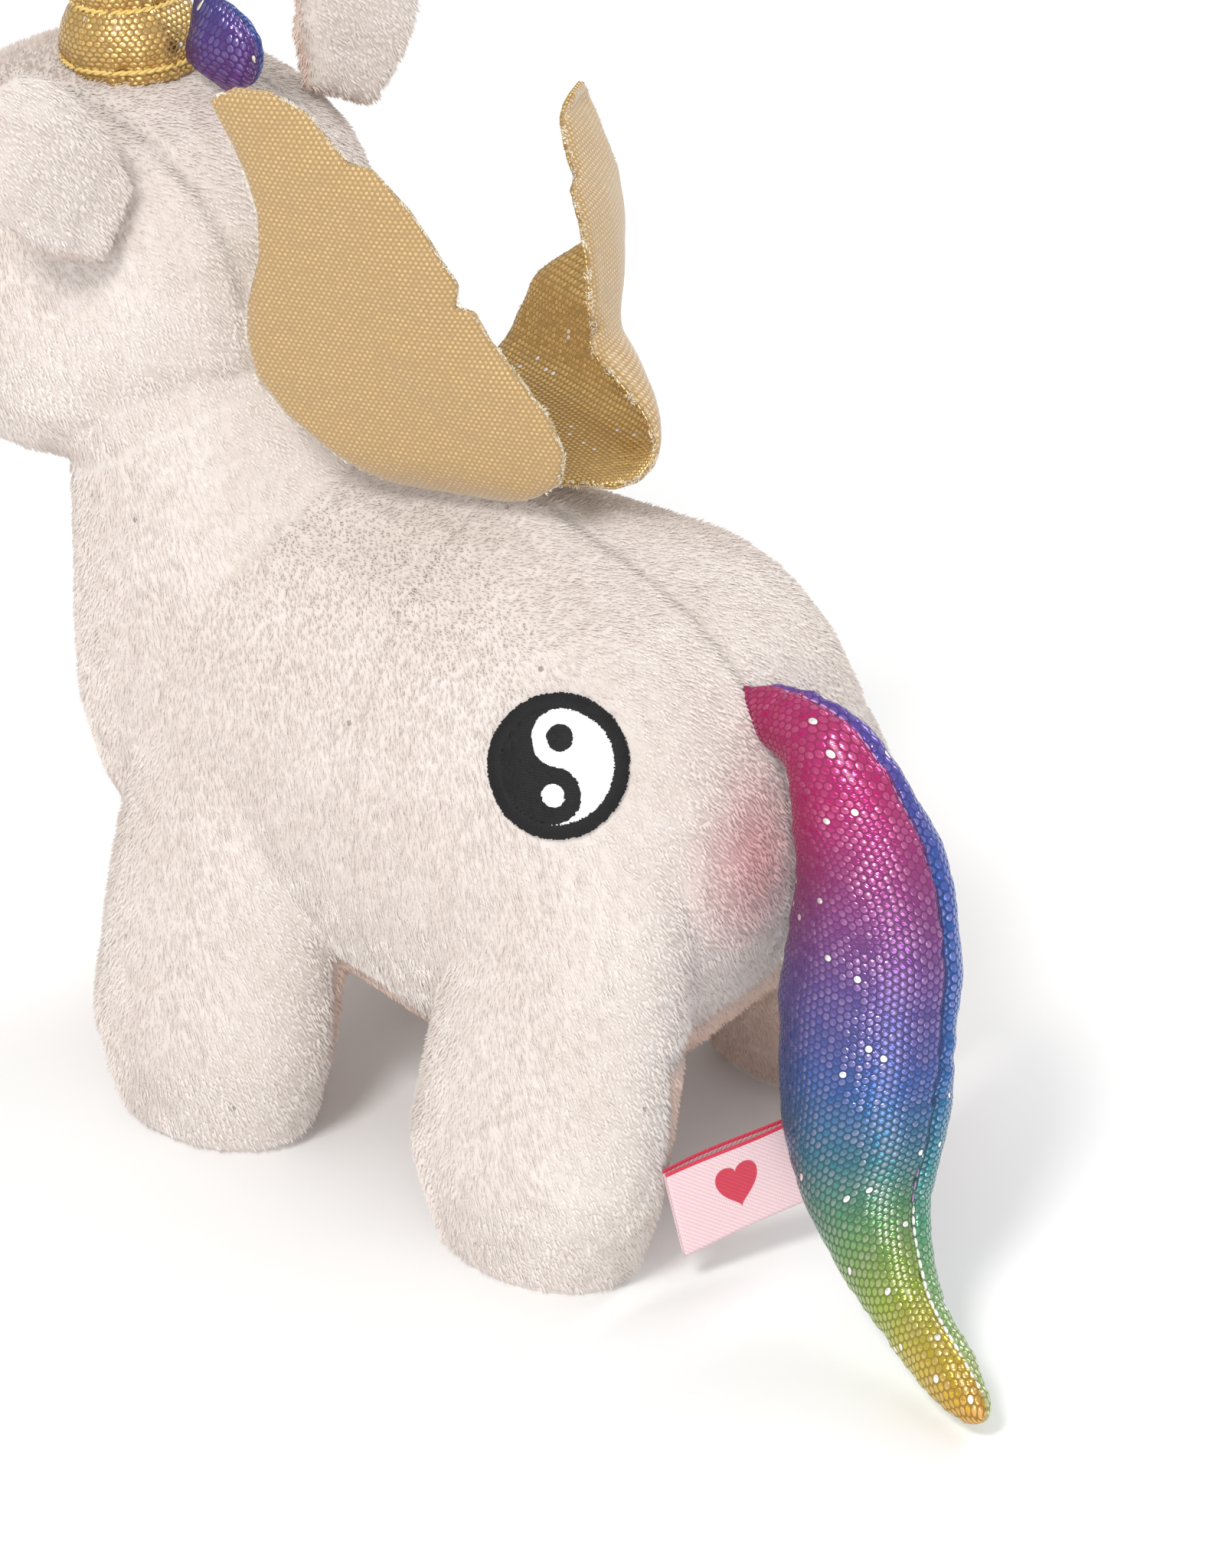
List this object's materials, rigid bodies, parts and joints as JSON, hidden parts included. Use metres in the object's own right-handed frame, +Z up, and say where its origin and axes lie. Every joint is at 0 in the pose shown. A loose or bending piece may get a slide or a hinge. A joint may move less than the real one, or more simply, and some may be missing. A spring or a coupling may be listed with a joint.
{
  "type": "plush unicorn",
  "caption": "Standing plush unicorn with foil wings, horn, mane and rainbow tail, embroidered hip emblem and side label",
  "frame": {"origin": "on the floor, in the middle of the unicorn's outline seen from above", "axes": "+Z up, the unicorn faces -Y, its left flank is on +X"},
  "size_m": [0.1074, 0.2496, 0.2015],
  "materials": {
    "plush": "short-pile velour plush, matt with a soft sheen",
    "plush_peach": "short-pile velour plush, matt",
    "filling": "loose polyester fibre",
    "eye": "polished domed plastic",
    "gold_foil": "foil-dot knit, glossy metallic dots",
    "gold_thread": "twisted polyester thread",
    "mane_foil": "foil-dot knit, glossy metallic dots",
    "wing_outer": "twill with small printed foil dots, satin",
    "tail_thread": "twisted polyester thread",
    "tail_foil_left": "rainbow foil-dot knit, glossy metallic dots",
    "tail_foil_right": "rainbow foil-dot knit, glossy metallic dots",
    "black_thread": "satin-stitch embroidery",
    "white_thread": "filled embroidery",
    "label": "woven ribbon"
  },
  "bodies": {
    "stuffed_body": {"body_side_left": "plush", "body_side_right": "plush", "belly_gusset": "plush_peach", "body_filling": "filling", "leg_filling_front_left": "filling", "leg_filling_front_right": "filling", "leg_filling_hind_left": "filling", "leg_filling_hind_right": "filling", "sole_front_left": "plush", "sole_front_right": "plush", "sole_hind_left": "plush", "sole_hind_right": "plush", "head_side_left": "plush", "head_side_right": "plush", "head_gusset": "plush", "head_filling": "filling", "eye_left": "eye", "eye_right": "eye", "horn_cover": "gold_foil", "horn_filling": "filling", "horn_thread": "gold_thread", "emblem_border": "black_thread", "emblem_dark": "black_thread", "emblem_light": "white_thread"},
    "left_ear": {"ear_back_left": "plush", "ear_lining_left": "plush_peach"},
    "right_ear": {"ear_back_right": "plush", "ear_lining_right": "plush_peach"},
    "mane": {"mane_panel_left": "mane_foil", "mane_panel_right": "mane_foil", "mane_filling": "filling"},
    "left_wing": {"wing_left_outer": "wing_outer", "wing_left_inner": "gold_foil"},
    "right_wing": {"wing_right_outer": "wing_outer", "wing_right_inner": "gold_foil"},
    "tail_root": {"tail_root_knot": "tail_thread"},
    "tail": {"tail_panel_left": "tail_foil_left", "tail_panel_right": "tail_foil_right", "tail_filling": "filling"},
    "label": {"label_loop": "label"}
  },
  "joints": [
    {"name": "left_wing_flap", "type": "hinge", "parent": "stuffed_body", "child": "left_wing", "pos_m": [0.006, 0.011, 0.111], "axis": [-0.2924, 0.9563, 0], "range_deg": [-8, 28], "stiffness_Nm_per_rad": 0.06},
    {"name": "right_wing_flap", "type": "hinge", "parent": "stuffed_body", "child": "right_wing", "pos_m": [-0.001, 0.011, 0.111], "axis": [-0.2924, -0.9563, 0], "range_deg": [-14, 22], "stiffness_Nm_per_rad": 0.06},
    {"name": "tail_swing", "type": "hinge", "parent": "stuffed_body", "child": "tail_root", "pos_m": [0, 0.0558, 0.086], "axis": [0, 0, 1], "range_deg": [-17, 20], "stiffness_Nm_per_rad": 0.12},
    {"name": "tail_lift", "type": "hinge", "parent": "tail_root", "child": "tail", "pos_m": [0, 0.0558, 0.086], "axis": [1, 0, 0], "range_deg": [0, 45], "stiffness_Nm_per_rad": 0.25},
    {"name": "left_ear_fold", "type": "hinge", "parent": "stuffed_body", "child": "left_ear", "pos_m": [0.031, -0.0507, 0.1513], "axis": [0.7431, 0.1391, -0.6545], "range_deg": [-20, 20], "stiffness_Nm_per_rad": 0.03},
    {"name": "right_ear_fold", "type": "hinge", "parent": "stuffed_body", "child": "right_ear", "pos_m": [-0.0294, -0.0513, 0.155], "axis": [0.8613, -0.2691, 0.4309], "range_deg": [-20, 20], "stiffness_Nm_per_rad": 0.03},
    {"name": "mane_flop", "type": "hinge", "parent": "stuffed_body", "child": "mane", "pos_m": [0, -0.05, 0.1614], "axis": [0, 1, 0], "range_deg": [-20, 20], "stiffness_Nm_per_rad": 0.02},
    {"name": "label_flap", "type": "hinge", "parent": "stuffed_body", "child": "label", "pos_m": [0.033, 0.0618, 0.0135], "axis": [0, 0, 1], "range_deg": [0, 28], "stiffness_Nm_per_rad": 0.006}
  ]
}
